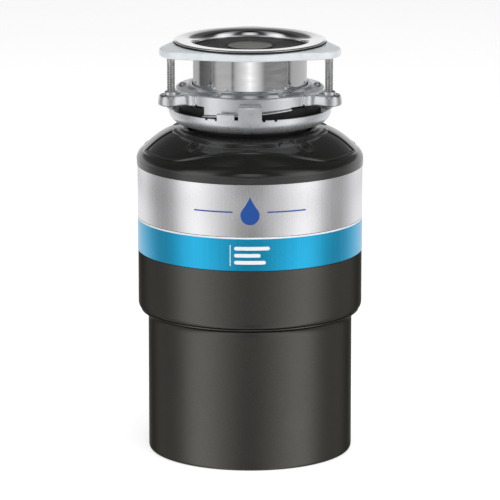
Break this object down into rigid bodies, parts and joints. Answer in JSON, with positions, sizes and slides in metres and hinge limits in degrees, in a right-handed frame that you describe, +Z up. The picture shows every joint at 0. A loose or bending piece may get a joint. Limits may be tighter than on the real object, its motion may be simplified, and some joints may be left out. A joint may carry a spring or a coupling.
{
  "type": "kitchen garbage disposal",
  "caption": "Under-sink food waste disposer: motor can, grind chamber with swivelling impellers, and a screw-clamped sink flange with a turn-lock mounting ring.",
  "frame": {"origin": "on the motor axis, at the base the body stands on", "axes": "+Z up the motor axis to the sink flange, -Y the front with the bands, +Y the back with the discharge outlet"},
  "size_m": [0.1744, 0.1766, 0.321],
  "materials": {
    "can_paint": "warm dark grey metallic paint, satin",
    "blue_label": "cyan printed wrap, satin",
    "silver_label": "vertically brushed silver wrap",
    "cover_gloss": "glossy black moulding",
    "flange_steel": "polished stainless steel",
    "coated_metal": "pale coated metal",
    "plated_steel": "zinc plated pressing",
    "cast_metal": "cast alloy, satin",
    "screw_steel": "zinc plated",
    "grind_steel": "stainless, as machined",
    "black_rubber": "matt black rubber",
    "stopper_rubber": "smooth black rubber",
    "knob_grey": "mid grey moulding",
    "black_plastic": "black glass-filled moulding",
    "button_red": "red moulding",
    "core_iron": "laminated electrical steel",
    "copper": "varnished copper wire",
    "bronze": "sintered bronze"
  },
  "bodies": {
    "disposer": {"motor_housing": "can_paint", "upper_shell": "can_paint", "blue_band": "blue_label", "silver_band": "silver_label", "container_cover": "cover_gloss", "hopper": "black_plastic", "hopper_gasket": "black_rubber", "shredder_ring": "grind_steel", "drain_chamber": "black_plastic", "upper_end_frame": "cast_metal", "upper_bearing": "bronze", "shaft_seal": "black_rubber", "stator_core": "core_iron", "upper_winding": "copper", "lower_winding": "copper", "through_bolt_1": "screw_steel", "through_bolt_2": "screw_steel", "through_bolt_3": "screw_steel", "through_bolt_4": "screw_steel", "lower_end_bell": "cast_metal", "lower_bearing": "bronze", "terminal_cover": "screw_steel", "terminal_cover_screw": "screw_steel", "cable_inlet": "black_plastic", "overload_protector": "black_plastic", "start_switch": "black_plastic", "mounting_gasket": "black_rubber"},
    "rotor": {"motor_shaft": "screw_steel", "rotor_core": "core_iron", "lower_end_ring": "cast_metal", "upper_end_ring": "cast_metal", "slinger": "black_rubber", "turntable": "grind_steel", "turntable_nut": "grind_steel", "impeller_pin_1": "grind_steel", "impeller_pin_2": "grind_steel"},
    "impeller_one": {"impeller_1": "grind_steel"},
    "impeller_two": {"impeller_2": "grind_steel"},
    "switch_actuator": {"centrifugal_actuator": "black_plastic"},
    "button": {"reset_button": "button_red"},
    "lower_ring": {"lower_mounting_ring": "plated_steel"},
    "mount": {"mounting_ring": "cast_metal", "snap_ring": "screw_steel", "sink_flange": "flange_steel"},
    "backup": {"backup_ring": "coated_metal", "sink_gasket": "black_rubber"},
    "screw_left": {"clamp_screw_left": "screw_steel"},
    "screw_right": {"clamp_screw_right": "screw_steel"},
    "screw_rear": {"clamp_screw_rear": "screw_steel"},
    "stopper": {"stopper_disc": "stopper_rubber", "stopper_knob": "knob_grey"}
  },
  "joints": [
    {"name": "rotor_spin", "type": "hinge", "parent": "disposer", "child": "rotor", "pos_m": [0, 0, 0.07], "axis": [0, 0, 1], "continuous": true},
    {"name": "impeller_1_swivel", "type": "hinge", "parent": "rotor", "child": "impeller_one", "pos_m": [0.041, 0, 0.168], "axis": [0, 0, 1], "continuous": true},
    {"name": "impeller_2_swivel", "type": "hinge", "parent": "rotor", "child": "impeller_two", "pos_m": [-0.041, 0, 0.168], "axis": [0, 0, 1], "continuous": true},
    {"name": "switch_actuator_slide", "type": "slide", "parent": "rotor", "child": "switch_actuator", "axis": [0, 0, -1], "range_m": [0, 0.0016], "stiffness_N_per_m": 200, "springref_m": -0.002},
    {"name": "reset_button_pop", "type": "slide", "parent": "disposer", "child": "button", "axis": [0, 0, -1], "range_m": [0, 0.003]},
    {"name": "mount_swivel", "type": "hinge", "parent": "disposer", "child": "lower_ring", "pos_m": [0, 0, 0.262], "axis": [0, 0, 1], "continuous": true},
    {"name": "lock_turn", "type": "hinge", "parent": "lower_ring", "child": "mount", "pos_m": [0, 0, 0.272], "axis": [0, 0, 1], "range_deg": [0, 26]},
    {"name": "clamp_travel", "type": "slide", "parent": "mount", "child": "backup", "axis": [0, 0, -1], "range_m": [0, 0.012]},
    {"name": "clamp_screw_left_turn", "type": "hinge", "parent": "backup", "child": "screw_left", "pos_m": [-0.05993, -0.0346, 0.2736], "axis": [0, 0, -1], "range_deg": [0, 3403]},
    {"name": "clamp_screw_right_turn", "type": "hinge", "parent": "backup", "child": "screw_right", "pos_m": [0.05993, -0.0346, 0.2736], "axis": [0, 0, -1], "range_deg": [0, 3403]},
    {"name": "clamp_screw_rear_turn", "type": "hinge", "parent": "backup", "child": "screw_rear", "pos_m": [0, 0.0692, 0.2736], "axis": [0, 0, -1], "range_deg": [0, 3403]},
    {"name": "stopper_lift", "type": "slide", "parent": "mount", "child": "stopper", "axis": [0, 0, 1], "range_m": [0, 0.06]}
  ],
  "couplings": [
    {"joint": "clamp_screw_left_turn", "follows": "clamp_travel", "rad_per_m": 4947.4},
    {"joint": "clamp_screw_right_turn", "follows": "clamp_travel", "rad_per_m": 4947.4},
    {"joint": "clamp_screw_rear_turn", "follows": "clamp_travel", "rad_per_m": 4947.4}
  ]
}
